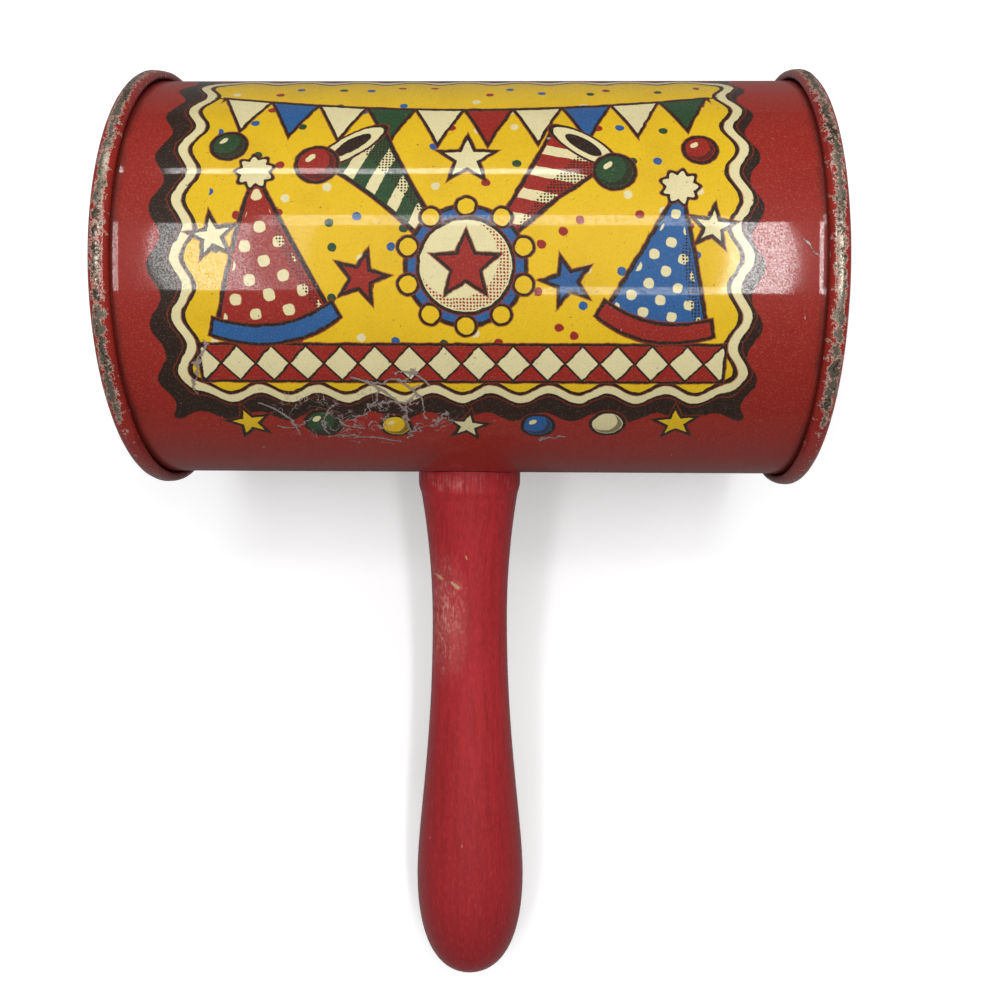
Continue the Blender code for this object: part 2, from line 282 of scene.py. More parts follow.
def drawPanel(canvas, x, y):
    def frameShape(x, y):
        rate = 2 * math.pi / panel["scallopPitch"]
        overX = calc("MULTIPLY_ADD", calc("COSINE", calc("MULTIPLY", y, rate)), -panel["scallop"], 0.0)
        overY = calc("MULTIPLY_ADD", calc("COSINE", calc("MULTIPLY", x, rate)), -panel["scallop"], 0.0)
        sideways = calc("ADD", size(x, panel["halfWide"]), overX)
        upDown = calc("ADD", size(y, panel["halfHigh"]), overY)
        return calc("SMOOTH_MAX", sideways, upDown, panel["corner"])

    dropX, dropY = panel["shadowDrop"]
    shade = frameShape(calc("SUBTRACT", x, dropX), calc("SUBTRACT", y, dropY))
    edge = frameShape(x, y)
    canvas = lay(canvas, inks["key"], inside(shade, panel["border"] + panel["shadow"], 0.12))
    canvas = inked(canvas, calc("SUBTRACT", edge, panel["border"]), inks["cream"])
    return inked(canvas, edge, inks["yellow"])


def drawConfetti(canvas, x, y):
    node = addNode("TexVoronoi", Vector=flatPlace(x, y), Scale=1 / confetti["cell"], Randomness=0.75)
    node.voronoi_dimensions = "2D"
    away = calc("MULTIPLY", node.outputs["Distance"], confetti["cell"])
    spot = calc("SUBTRACT", away, confetti["radius"])
    onPanel = both(size(x, panel["halfWide"] - 2), size(y, panel["halfHigh"] - 2))
    chosen = pick(addNode("SeparateColor", Color=node.outputs["Color"]).outputs["Red"], confetti["inks"])
    return lay(canvas, chosen, inside(both(spot, onPanel)))


def drawDiamonds(canvas, x, y):
    halfHigh = diamonds["high"] / 2
    low = calc("SUBTRACT", y, diamonds["foot"])
    across = calc("DIVIDE", calc("PINGPONG", x, diamonds["wide"]), diamonds["wide"])
    upward = calc("DIVIDE", calc("PINGPONG", low, halfHigh), halfHigh)
    spread = calc("SUBTRACT", calc("ADD", across, upward), 1.0)
    edge = calc("MULTIPLY", spread, diamonds["wide"] * 0.74)
    strip = both(size(x, diamonds["half"]), size(calc("SUBTRACT", low, halfHigh), halfHigh))
    canvas = inked(canvas, strip, inks["cream"], 0.28)
    canvas = lay(canvas, inks["red"], inside(both(edge, strip), -0.03))
    return lay(canvas, inks["key"], inside(both(size(edge, diamonds["line"]), strip)))


def drawBunting(canvas, x, y):
    half, sag = bunting["half"], bunting["sag"]
    level = calc("MULTIPLY_ADD", calc("MULTIPLY", x, x), sag / half**2, bunting["height"] - sag)
    below = calc("SUBTRACT", level, y)
    count = calc("DIVIDE", x, bunting["pitch"])
    fromMiddle = calc("ABSOLUTE", calc("SUBTRACT", calc("FRACT", count), 0.5))
    taper = calc("MULTIPLY_ADD", below, 0.46 / bunting["drop"], -0.46)
    side = calc("MULTIPLY", calc("ADD", fromMiddle, taper), bunting["pitch"] * 0.9)
    pennant = both(side, flipped(below), size(x, half))
    order = calc("FRACT", calc("MULTIPLY_ADD", calc("FLOOR", count), 1 / len(bunting["inks"]), 0.02))
    canvas = inked(canvas, pennant, pick(order, bunting["inks"]), 0.3)
    return lay(canvas, inks["key"], inside(both(size(below, bunting["cord"]), size(x, half + 1.5))))


def drawHat(canvas, x, y, hat, dotted):
    localX, localY = placed(x, y, hat["spot"], hat["turn"])
    slope = math.atan2(hat["wide"] / 2, hat["tall"])
    crown = calc("MULTIPLY", calc("SUBTRACT", localY, hat["tall"]), math.sin(slope))
    flank = calc("MULTIPLY_ADD", calc("ABSOLUTE", localX), math.cos(slope), crown)
    belly = 0.12 * hat["wide"]
    bow = calc("MULTIPLY_ADD", calc("MULTIPLY", localX, localX), 4 * belly / hat["wide"] ** 2, -belly)
    foot = calc("SUBTRACT", bow, localY)
    cone = both(flank, foot)
    canvas = inked(canvas, cone, inks[hat["ink"]])
    rate = 2 * math.pi / hat["dots"]
    waves = [calc("COSINE", calc("MULTIPLY", value, rate)) for value in (localX, localY)]
    dots = rise(calc("MULTIPLY", *waves), 0.42, 0.52)
    canvas = lay(canvas, inks["cream"], calc("MULTIPLY", dots, inside(cone, -0.35)))
    rightOf = calc("MULTIPLY_ADD", localX, -1, hat["wide"] * 0.10)
    shade = both(cone, rightOf, calc("MULTIPLY_ADD", flank, -1, -1.5))
    canvas = lay(canvas, inks[hat["shade"]], calc("MULTIPLY", inside(shade, -0.2), dotted))
    brim = both(calc("SUBTRACT", flank, 0.7), foot, calc("MULTIPLY_ADD", foot, -1, -2.0))
    canvas = inked(canvas, brim, inks[hat["trim"]], 0.32)
    tuftX, tuftY = placed(localX, localY, (0, hat["tall"] + 0.6))
    petals = calc("MULTIPLY", calc("COSINE", calc("MULTIPLY", calc("ARCTAN2", tuftX, tuftY), 9)), 0.26)
    return inked(canvas, calc("SUBTRACT", disc(tuftX, tuftY, 1.9), petals), inks["cream"], 0.34)


def drawHorn(canvas, x, y, horn, dotted):
    localX, localY = placed(x, y, horn["spot"], horn["turn"])
    share = calc("MULTIPLY", localX, 1 / horn["long"], clamp=True)
    width = calc("MULTIPLY_ADD", calc("POWER", share, 1.9), horn["bell"] - horn["mouth"], horn["mouth"])
    flank = calc("SUBTRACT", calc("ABSOLUTE", localY), width)
    pipe = both(flank, size(calc("SUBTRACT", localX, horn["long"] / 2), horn["long"] / 2))
    canvas = inked(canvas, pipe, inks[horn["ink"]])
    lean = calc("MULTIPLY_ADD", localY, 0.5, localX)
    bands = calc("COSINE", calc("MULTIPLY", lean, 2 * math.pi / horn["stripe"]))
    canvas = lay(canvas, inks["cream"], calc("MULTIPLY", rise(bands, 0.18, 0.26), inside(pipe, -0.15)))
    low, high = calc("ADD", localY, 0.3), calc("ADD", localY, 0.9)
    shade = both(pipe, low, calc("MULTIPLY_ADD", width, -0.25, high))
    canvas = lay(canvas, inks["key"], calc("MULTIPLY", inside(shade, -0.1), dotted))
    bellX = calc("DIVIDE", calc("SUBTRACT", localX, horn["long"]), 0.34)
    lip = calc("MULTIPLY", disc(bellX, localY, horn["bell"] + 0.2), 0.6)
    canvas = inked(canvas, lip, inks["cream"], 0.36)
    canvas = lay(canvas, inks["key"], inside(disc(bellX, localY, horn["bell"] * 0.62), 0, 0.12))
    return inked(canvas, disc(localX, localY, horn["mouth"] + 0.35), inks["yellow"], 0.3)


def drawTambourine(canvas, x, y, dotted):
    localX, localY = placed(x, y, tambourine["spot"])
    radius, sector = tambourine["radius"], math.pi / tambourine["jingles"]
    turn = calc("WRAP", calc("ARCTAN2", localX, localY), sector, -sector)
    far = reach(localX, localY)
    besides = calc("MULTIPLY", far, calc("SINE", turn))
    outward = calc("SUBTRACT", calc("MULTIPLY", far, calc("COSINE", turn)), radius + 0.25)
    canvas = inked(canvas, calc("SUBTRACT", far, radius), inks["blue"])
    canvas = inked(canvas, disc(besides, outward, tambourine["jingle"]), inks["yellow"], 0.26)
    canvas = inked(canvas, calc("SUBTRACT", far, tambourine["skin"]), inks["cream"], 0.34)
    offReach = reach(*placed(localX, localY, (-0.9, 0.9)))
    crescent = both(calc("SUBTRACT", far, tambourine["skin"] - 0.2),
                    calc("SUBTRACT", tambourine["skin"] - 0.7, offReach))
    canvas = lay(canvas, inks["red"], calc("MULTIPLY", inside(crescent), dotted))
    return inked(canvas, starShape(localX, localY, tambourine["star"], waist=0.45), inks["red"], 0.3)


def drawStar(canvas, x, y, star):
    localX, localY = placed(x, y, star["spot"], star["turn"])
    return inked(canvas, starShape(localX, localY, star["radius"]), inks[star["ink"]], 0.34)


def drawBall(canvas, x, y, ball):
    localX, localY = placed(x, y, ball["spot"])
    radius = ball["radius"]
    ballEdge = disc(localX, localY, radius)
    canvas = inked(canvas, ballEdge, inks[ball["ink"]], 0.36)
    offX, offY = placed(localX, localY, (-0.22 * radius, 0.22 * radius))
    crescent = both(calc("ADD", ballEdge, 0.15), flipped(disc(offX, offY, 0.86 * radius)))
    canvas = lay(canvas, inks["key"], calc("MULTIPLY", inside(crescent), 0.72))
    glintX, glintY = placed(localX, localY, (-0.36 * radius, 0.38 * radius), 45)
    glint = disc(calc("MULTIPLY", glintX, 0.55), glintY, 0.17 * radius)
    return lay(canvas, inks["cream"], inside(glint))


def drawPrint(place):
    lean = addNode("SeparateXYZ", Vector=place)
    radius = drum["radius"] * toMillimetres
    turn = calc("ARCTAN2", along(place, frontWay), along(place, handleWay))
    side = calc("SIGN", turn)  # the back carries the same print, turned half round the handle
    shiver = noise(place, 0.9, 2.0)
    shake = calc("MULTIPLY_ADD", shiver, 0.34, -0.17)
    x = calc("ADD", calc("MULTIPLY_ADD", lean.outputs["X"], side, -panel["setOver"]), shake)
    arcLength = calc("MULTIPLY", calc("ABSOLUTE", turn), radius)
    y = calc("SUBTRACT", calc("SUBTRACT", arcLength, math.radians(panel["middle"]) * radius), shake)

    rate = 2 * math.pi / halftone["pitch"] / math.sqrt(2)
    turned = placed(x, y, (0, 0), halftone["turn"])
    screen = [calc("SINE", calc("MULTIPLY", value, rate)) for value in turned]
    dotted = rise(calc("MULTIPLY", *screen), 0.02, 0.30)

    canvas = drawPanel(inks["red"], x, y)
    canvas = drawConfetti(canvas, x, y)
    canvas = drawDiamonds(canvas, x, y)
    canvas = drawBunting(canvas, x, y)
    for hat in hats:
        canvas = drawHat(canvas, x, y, hat, dotted)
    for horn in horns:
        canvas = drawHorn(canvas, x, y, horn, dotted)
    canvas = drawTambourine(canvas, x, y, dotted)
    for star in stars:
        canvas = drawStar(canvas, x, y, star)
    for ball in balls:
        canvas = drawBall(canvas, x, y, ball)
    return canvas, x, y


# finishes
lacquer = {
    "rough": 0.42,
    "gloss": 0.054,
    "grain": 5.4,  # grains a millimetre in the varnish
    "thin": 0.15,  # how much gloss is left where a grain is dull
    "peel": 4.0,
    "bare": (0.46, 0.36, 0.33),
    "scratches": [
        {"spot": (-22.0, -27.6), "turn": -52, "long": 6.4, "bow": 0.10},
        {"spot": (-20.6, -29.6), "turn": 20, "long": 4.6, "bow": -0.16},
        {"spot": (-17.2, -28.0), "turn": 74, "long": 5.6, "bow": 0.12},
        {"spot": (-12.6, -31.6), "turn": -6, "long": 9.0, "bow": 0.03},
        {"spot": (-11.2, -26.0), "turn": 58, "long": 5.4, "bow": -0.10},
        {"spot": (-9.6, -23.6), "turn": -40, "long": 8.4, "bow": 0.05},
        {"spot": (-7.0, -27.2), "turn": 82, "long": 6.6, "bow": 0.08},
        {"spot": (-8.2, -22.2), "turn": 14, "long": 6.0, "bow": -0.07},
        {"spot": (-5.2, -24.6), "turn": -64, "long": 6.2, "bow": 0.11},
        {"spot": (-5.8, -21.2), "turn": -22, "long": 4.4, "bow": 0.14},
        {"spot": (-3.6, -29.0), "turn": 42, "long": 5.0, "bow": -0.09},
        {"spot": (-6.4, -30.4), "turn": 64, "long": 3.6, "bow": 0.15},
        {"spot": (-9.0, -25.2), "turn": 6, "long": 4.2, "bow": 0.18},
        {"spot": (-14.4, -29.6), "turn": -30, "long": 4.0, "bow": -0.20},
        {"spot": (-31.6, -20.4), "turn": 72, "long": 7.0, "bow": 0.02},
        {"spot": (11.0, -31.6), "turn": 12, "long": 3.2, "bow": 0.10},
        {"spot": (40.4, -5.6), "turn": -50, "long": 2.2, "bow": 0.10, "wide": 0.05},
    ],
    "scratchWide": 0.12,
    "scrape": {"spot": (-12.0, -27.2), "wide": 12.5, "high": 7.0},
}


def scratchShape(place, x, y):
    wander = noise(place, 0.7, 3.0, 0.6)
    x = calc("ADD", x, calc("MULTIPLY_ADD", wander, 2.2, -1.1))
    y = calc("ADD", y, calc("MULTIPLY_ADD", wander, -1.8, 0.9))
    nearest = 1.0
    for scratch in lacquer["scratches"]:
        localX, localY = placed(x, y, scratch["spot"], scratch["turn"])
        bowed = calc("MULTIPLY_ADD", calc("MULTIPLY", localX, localX), scratch["bow"], localY)
        thinner = lacquer["scratchWide"] - scratch.get("wide", lacquer["scratchWide"])
        stroke = calc("ADD", both(calc("ABSOLUTE", bowed), size(localX, scratch["long"] / 2)), thinner)
        nearest = calc("MINIMUM", nearest, stroke)
    broken = calc("MULTIPLY_ADD", noise(place, 1.9, 2.0, 0.6), -0.34, 0.17 - lacquer["scratchWide"])
    return calc("ADD", nearest, broken)


def lithoTin():
    material, shader = startMaterial("lithoTin")
    place = toyPlace()
    colour, x, y = drawPrint(place)
    endward = calc("ABSOLUTE", addNode("SeparateXYZ", Vector=place).outputs["X"])

    mottle = noise(place, 0.16, 3.0, 0.6)
    colour = lay(colour, inks["maroon"], calc("MULTIPLY", rise(mottle, 0.48, 0.80), 0.13))
    grain = noise(place, 5.0, 2.0, 0.6)
    colour = lay(colour, inks["cream"], calc("MULTIPLY", rise(grain, 0.54, 0.80), 0.12))
    colour = lay(colour, inks["maroon"], calc("MULTIPLY", rise(grain, 0.46, 0.24), 0.22))
    specks = calc("MULTIPLY", rise(noise(place, 1.7, 3.0, 0.7), 0.685, 0.715), 0.85)
    colour = lay(colour, inks["key"], specks)
    grimeAndShade = rise(calc("MULTIPLY_ADD", mottle, 1.6, endward), 41.5, 42.4)  # dirt and painted shade darken the wall against the seams
    colour = lay(colour, inks["key"], calc("MULTIPLY", grimeAndShade, 0.55))

    onFront = rise(along(place, frontWay), -1, 1)
    scratch = scratchShape(place, x, y)
    scrape = lacquer["scrape"]
    scrapeX = calc("DIVIDE", calc("SUBTRACT", x, scrape["spot"][0]), scrape["wide"])
    scrapeY = calc("DIVIDE", calc("SUBTRACT", y, scrape["spot"][1]), scrape["high"])
    scraped = rise(reach(scrapeX, scrapeY), 1.0, 0.1)
    flakes = rise(calc("MULTIPLY_ADD", scraped, 0.10, noise(place, 1.3, 4.0, 0.7, 0.8)), 0.735, 0.755)
    dings = calc("MULTIPLY", rise(noise(place, 0.55, 3.0, 0.65), 0.735, 0.752), 0.9)
    curl = calc("ABSOLUTE", calc("SUBTRACT", noise(place, 0.42, 2.0, 0.5, 1.6), 0.5))
    tangle = rise(calc("MULTIPLY_ADD", noise(place, 2.1, 2.0, 0.6), 0.030, curl), 0.0310, 0.0255)
    patchy = rise(noise(place, 0.30, 2.0), 0.49, 0.56)
    tangle = calc("MULTIPLY", tangle, calc("MULTIPLY", rise(scraped, 0.05, 0.25), patchy))
    bare = both(inside(scratch, 0, 0.09), calc("MAXIMUM", flakes, tangle))
    bare = calc("MAXIMUM", calc("MULTIPLY", bare, onFront), dings)
    rimmed = calc("MULTIPLY", inside(scratch, 0.09, 0.09), calc("MULTIPLY", onFront, 0.6))
    colour = lay(colour, inks["key"], rimmed)
    colour = lay(colour, lacquer["bare"], bare)

    plug(colour, shader.inputs["Base Color"])
    plug(calc("MULTIPLY", bare, 0.5), shader.inputs["Metallic"])
    plug(calc("MULTIPLY_ADD", grain, 0.2, lacquer["rough"] - 0.1), shader.inputs["Roughness"])
    shader.inputs["Specular IOR Level"].default_value = 0.15
    varnish = rise(noise(place, lacquer["grain"], 3.0, 0.75), 0.41, 0.59)
    plug(calc("MULTIPLY_ADD", varnish, 1 - lacquer["thin"], lacquer["thin"]), shader.inputs["Coat Weight"])
    plug(calc("MULTIPLY_ADD", mottle, 0.04, lacquer["gloss"] - 0.02), shader.inputs["Coat Roughness"])
    dented = bump(noise(place, 0.10, 1.0), 0.35, 0.0001)
    peeled = bump(noise(place, lacquer["peel"], 2.0), 0.8, 0.0000007, dented)
    plug(peeled, shader.inputs["Normal"])
    plug(peeled, shader.inputs["Coat Normal"])
    return material


seamWear = {
    "crest": 42.85,  # millimetres from the drum's middle
    "half": 0.46,
    "primer": (0.70, 0.46, 0.37),
    "metal": (0.36, 0.31, 0.24),
    "rust": (0.060, 0.036, 0.022),
    "edge": 0.15,
    "fade": (20.0, 15.0),  # millimetres towards the handle, where the wear stops
    "stepRub": 19.9,
}


def seamedTin():
    material, shader = startMaterial("seamedTin")
    place = toyPlace()
    axes = addNode("SeparateXYZ", Vector=place).outputs
    radial = reach(axes["Y"], axes["Z"])
    endward = calc("ABSOLUTE", axes["X"])
    onRim = rise(radial, 26.9, 27.5)
    drift = noise(place, 0.13, 2.0)
    ragged = noise(place, 0.95, 4.0, 0.62)
    fine = noise(place, 4.2, 3.0, 0.65)

    mottle = noise(place, 0.2, 3.0, 0.6)
    colour = lay(inks["red"], inks["maroon"], calc("MULTIPLY", rise(mottle, 0.45, 0.8), 0.45))

    # paint is gone in a ragged band along the crest of the seam, and in chips beside it
    off = calc("SUBTRACT", calc("MULTIPLY_ADD", drift, 0.7, endward), seamWear["crest"] + 0.35)
    band = calc("ADD", size(off, seamWear["half"]), calc("MULTIPLY_ADD", ragged, -2.6, 1.30))
    band = calc("ADD", band, calc("MULTIPLY_ADD", fine, -1.8, 0.90))
    kept = rise(along(place, handleWay), seamWear["fade"][1], seamWear["fade"][0])
    band = calc("MULTIPLY_ADD", kept, 0.9, band)
    chips = calc("MULTIPLY_ADD", noise(place, 0.95, 3.0, 0.6), -6.0, 4.15)
    paint = calc("MINIMUM", band, chips)
    flaked = calc("MULTIPLY", inside(paint, seamWear["edge"], 0.12), onRim)
    worn = calc("MULTIPLY", inside(paint, 0, 0.12), onRim)
    colour = lay(colour, seamWear["primer"], flaked)
    stretch = calc("MULTIPLY_ADD", noise(place, 0.22, 2.0), 0.7, -0.35)
    rusty = rise(calc("ADD", noise(place, 2.6, 4.0, 0.75), stretch), 0.46, 0.60)
    colour = lay(colour, lay(seamWear["metal"], seamWear["rust"], rusty), worn)
    colour = lay(colour, inks["key"], calc("MULTIPLY", rise(noise(place, 1.8, 2.0, 0.6), 0.73, 0.76), 0.8))

    # the sunk panel is only scuffed, and rubbed on the edge of its raised middle
    onPanel = rise(radial, 26.0, 25.2)
    scores = noise(stretched(place, (1.0, 0.5, 1.0)), 0.22, 2.0, 0.5, 1.2)
    scored = calc("ABSOLUTE", calc("SUBTRACT", scores, 0.5))
    scuffs = calc("MULTIPLY", rise(scored, 0.006, 0.002), rise(drift, 0.54, 0.62))
    rubbed = rise(calc("ABSOLUTE", calc("SUBTRACT", radial, seamWear["stepRub"])), 0.5, 0.1)
    rubbed = calc("MULTIPLY", rubbed, rise(ragged, 0.52, 0.66))
    scuffs = calc("MULTIPLY", calc("MAXIMUM", scuffs, calc("MULTIPLY", rubbed, 0.7)), onPanel)
    colour = lay(colour, lacquer["bare"], calc("MULTIPLY", scuffs, 0.8))

    plug(colour, shader.inputs["Base Color"])
    plug(calc("MULTIPLY", worn, calc("MULTIPLY_ADD", rusty, -0.5, 0.8)), shader.inputs["Metallic"])
    plug(calc("MULTIPLY_ADD", fine, 0.24, 0.16), shader.inputs["Roughness"])
    shader.inputs["Specular IOR Level"].default_value = 0.25
    plug(calc("MULTIPLY_ADD", flaked, -0.8, 0.8), shader.inputs["Coat Weight"])
    shader.inputs["Coat Roughness"].default_value = lacquer["gloss"]
    dented = bump(drift, 0.35, 0.0006)
    lifted = bump(calc("MULTIPLY_ADD", flaked, -1.0, calc("MULTIPLY", fine, 0.4)), 0.6, 0.00003, dented)
    plug(lifted, shader.inputs["Normal"])
    plug(lifted, shader.inputs["Coat Normal"])
    return material


def stainedWood():
    material, shader = startMaterial("stainedWood")
    place = toyPlace()
    grainWay = flatGrain(place)
    far = along(place, handleWay)
    across = calc("SUBTRACT", along(place, drumWay), wood["setOver"] * toMillimetres)
    streaks = noise(stretched(grainWay, (1.0, 1.0, 0.05)), 1.4, 4.0, 0.6, 0.3)
    fibres = noise(stretched(grainWay, (1.0, 1.0, 0.035)), 5.0, 3.0, 0.65)
    cloud = noise(place, 0.10, 3.0, 0.6)
    blots = noise(place, 0.8, 4.0, 0.65)
    colour = lay(wood["stain"], wood["dark"], calc("MULTIPLY", rise(streaks, 0.44, 0.74), 0.75))
    colour = lay(colour, wood["light"], calc("MULTIPLY", rise(fibres, 0.50, 0.76), 0.40))
    colour = lay(colour, wood["dark"], calc("MULTIPLY", rise(cloud, 0.5, 0.75), 0.35))
    paintedEndShade = calc("MULTIPLY_ADD", rise(far, 56, 92), 0.58, calc("MULTIPLY", rise(far, 90, 99), 0.4))
    colour = lay(colour, wood["dark"], paintedEndShade)  # painted shade: darker towards the handle's far end
    pores = noise(stretched(grainWay, (1.0, 1.0, 0.30)), 3.2, 3.0, 0.7)
    colour = lay(colour, wood["light"], calc("MULTIPLY", rise(pores, 0.52, 0.72), 0.50))
    colour = lay(colour, wood["dark"], calc("MULTIPLY", rise(pores, 0.48, 0.30), 0.45))

    # rubbed thin on the collar, and in flecks down one side of the grip; a soft pale patch over the grip is
    # painted sheen
    collarFade = rise(calc("ABSOLUTE", calc("SUBTRACT", far, wood["collarWearAt"])), 1.5, 0.2)
    patches = calc("MULTIPLY_ADD", fibres, 0.5, noise(place, 0.34, 3.0, 0.6))
    collarWear = calc("MULTIPLY", collarFade, rise(patches, 0.76, 1.00))
    gripX = calc("MULTIPLY", calc("SUBTRACT", across, wood["gripWearAndSheen"][0]), 0.30)
    gripY = calc("MULTIPLY", calc("SUBTRACT", far, wood["gripWearAndSheen"][1]), 0.115)
    gripFade = rise(reach(gripX, gripY), 1.25, 0.15)
    dashes = noise(stretched(grainWay, (1.0, 1.0, 0.30)), 4.0, 3.0, 0.65)
    flecks = rise(calc("MULTIPLY_ADD", blots, 0.7, dashes), 0.80, 1.04)
    # painted sheen: a soft pale cloud on the grip, standing in for a highlight
    paintedSheen = calc("MULTIPLY", rise(calc("MULTIPLY_ADD", dashes, 0.6, cloud), 0.62, 1.0), 0.45)
    gripWearAndSheen = calc("MULTIPLY", gripFade, calc("MAXIMUM", flecks, paintedSheen))
    colour = lay(colour, wood["rubbed"], calc("MAXIMUM", calc("MULTIPLY", collarWear, 0.75), gripWearAndSheen))
    for nick in wood["nicks"]:
        nickX, nickY = placed(across, far, nick["spot"], nick["turn"])
        cut = both(size(nickX, nick["long"] / 2), size(nickY, nick["wide"] / 2))
        cut = calc("ADD", cut, calc("MULTIPLY_ADD", blots, -0.8, 0.40))
        colour = lay(colour, wood["bare"], inside(cut, 0, 0.16))
    chips = rise(noise(stretched(grainWay, (1.0, 1.0, 0.45)), 0.75, 2.0, 0.6), 0.745, 0.765)
    colour = lay(colour, wood["bare"], calc("MULTIPLY", chips, 0.8))
    colour = lay(colour, inks["key"], calc("MULTIPLY", rise(noise(place, 1.9, 2.0, 0.6), 0.74, 0.77), 0.6))

    plug(colour, shader.inputs["Base Color"])
    plug(calc("MULTIPLY_ADD", fibres, 0.25, 0.36), shader.inputs["Roughness"])
    shader.inputs["Specular IOR Level"].default_value = 0.3
    shader.inputs["Sheen Weight"].default_value = 0.22
    shader.inputs["Sheen Roughness"].default_value = 0.35
    grain = bump(fibres, 0.40, 0.00008)
    plug(bump(streaks, 0.35, 0.00025, grain), shader.inputs["Normal"])
    return material


def flatGrain(place):  # across, up and lengthways on the handle
    node = addNode("CombineXYZ", X=along(place, drumWay), Y=along(place, frontWay), Z=along(place, handleWay))
    return node.outputs[0]


def plainMetal(name, tone, dull, rough):
    material, shader = startMaterial(name)
    place = toyPlace()
    cloud = noise(place, 0.6, 3.0, 0.6)
    drawn = noise(stretched(flatGrain(place), (1.0, 1.0, 0.15)), 5.0, 2.0, 0.6)
    plug(lay(tone, dull, rise(cloud, 0.45, 0.75)), shader.inputs["Base Color"])
    shader.inputs["Metallic"].default_value = 1.0
    plug(calc("MULTIPLY_ADD", drawn, 0.25, rough), shader.inputs["Roughness"])
    plug(bump(drawn, 0.2, 0.00005), shader.inputs["Normal"])
    return material


# pieces
def finishPiece(name, form, material, node, body, smoothAngle=35):
    bmesh.ops.remove_doubles(form, verts=form.verts, dist=2e-6)
    bmesh.ops.recalc_face_normals(form, faces=form.faces)
    mesh = bpy.data.meshes.new(name)
    form.to_mesh(mesh)
    form.free()
    mesh.shade_smooth()
    mesh.set_sharp_from_angle(angle=math.radians(smoothAngle))
    mesh.materials.append(material)
    piece = bpy.data.objects.new(name, mesh)
    bpy.context.scene.collection.objects.link(piece)
    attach(piece, body)
    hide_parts(node)
    print("made", name, len(mesh.polygons), "faces")
    return piece


def turnOutline(outline, middle, axis, outward, steps, ring=False):
    form = bmesh.new()
    verts = [form.verts.new(middle + axis * far + outward * radius) for radius, far in outline]
    edges = [form.edges.new(pair) for pair in zip(verts, verts[1:])]
    if ring:
        edges.append(form.edges.new((verts[-1], verts[0])))
    bmesh.ops.spin(form, geom=verts + edges, cent=middle, axis=axis, angle=2 * math.pi, steps=steps,
                   use_merge=True, use_duplicate=False)
    return form


def bend(centre, radius, start, end, steps=5):
    points = []
    for step in range(steps + 1):
        angle = math.radians(start + (end - start) * step / steps)
        points.append((centre[0] + radius * math.cos(angle), centre[1] + radius * math.sin(angle)))
    return points


def sweep(*corners, points=24):
    return [(p.x, p.y) for p in interpolate_bezier(*[Vector((*corner, 0)) for corner in corners], points)]


drum = {
    "radius": 0.0270,
    "tin": 0.00025,
    "clearance": 0.00025,
    "seamHigh": 0.0025,
    "innerRound": 0.0008,
    "outerRound": 0.0011,
    "underRound": 0.00075,
    "sunk": 0.0032,
    "step": 0.0008,
    "ledge": 0.0060,
    "fillet": 0.0008,
    "flare": 0.00006,  # the wall spreads a little before it goes under the seam
    "flareLong": (0.0011, 0.0010),  # at the right end and at the left
    "crownDrop": 10,  # degrees that the bead's top leans at its inner edge
    "hookRound": 0.0003,
    "knock": 0.0002,
    "knockRate": 140,  # waves a metre
    "steps": 288,
}
sideSeam = {"turn": -62, "wide": 0.0004, "deep": 0.0001}  # turned in degrees from the handle, to the back


def drumWall(material):
    tin, layer, soft = drum["tin"], drum["tin"] + drum["clearance"], drum["hookRound"]
    radius, top = drum["radius"], halfLength - layer
    hook = radius + 2 * layer
    hookEnd = halfLength - drum["seamHigh"] + layer
    seamFoot = halfLength - drum["seamHigh"]
    flare = drum["flare"]
    rightEnd, leftEnd = (seamFoot - long for long in drum["flareLong"])

    def endOutline(flareEnd):  # from the bore, over the hook and down the flare
        outline = bend((radius - tin + soft, top - soft), soft, 180, 90, 3)
        outline += bend((hook - soft, top - soft), soft, 90, 0, 3)
        outline += [(hook, hookEnd), (hook - tin, hookEnd), (hook - tin, top - tin), (radius, top - tin)]
        outline += [(radius, seamFoot + layer)]
        outline += sweep((radius + flare, seamFoot + tin), (radius + flare * 0.5, seamFoot - tin),
                         (radius, (seamFoot + flareEnd) / 2), (radius, flareEnd), points=16)
        return outline + [(radius, flareEnd - layer)]

    left = [(across, -far) for across, far in reversed(endOutline(leftEnd))]
    seamTurn = math.radians(sideSeam["turn"])
    seamWay = handleWay * math.cos(seamTurn) + frontWay * math.sin(seamTurn)
    form = turnOutline(endOutline(rightEnd) + left, drumCentre, drumWay, seamWay, drum["steps"], ring=True)

    # the folded side seam shows outside as a fine groove
    beside = drumWay.cross(seamWay)
    for side in (-1, 1):
        edgeSpot = drumCentre + beside * side * sideSeam["wide"] / 2
        everything = form.verts[:] + form.edges[:] + form.faces[:]
        bmesh.ops.bisect_plane(form, geom=everything, dist=1e-7, plane_co=edgeSpot, plane_no=beside)
    for vert in form.verts:
        spot = vert.co - drumCentre
        onLine = abs(spot.dot(beside)) < 1e-6 and spot.dot(seamWay) > radius - tin / 2
        if onLine and -leftEnd - 1e-6 < spot.x < rightEnd + 1e-6:
            vert.co -= seamWay * sideSeam["deep"]
    return finishPiece("drumWall", form, material, "can_body", toyBody)


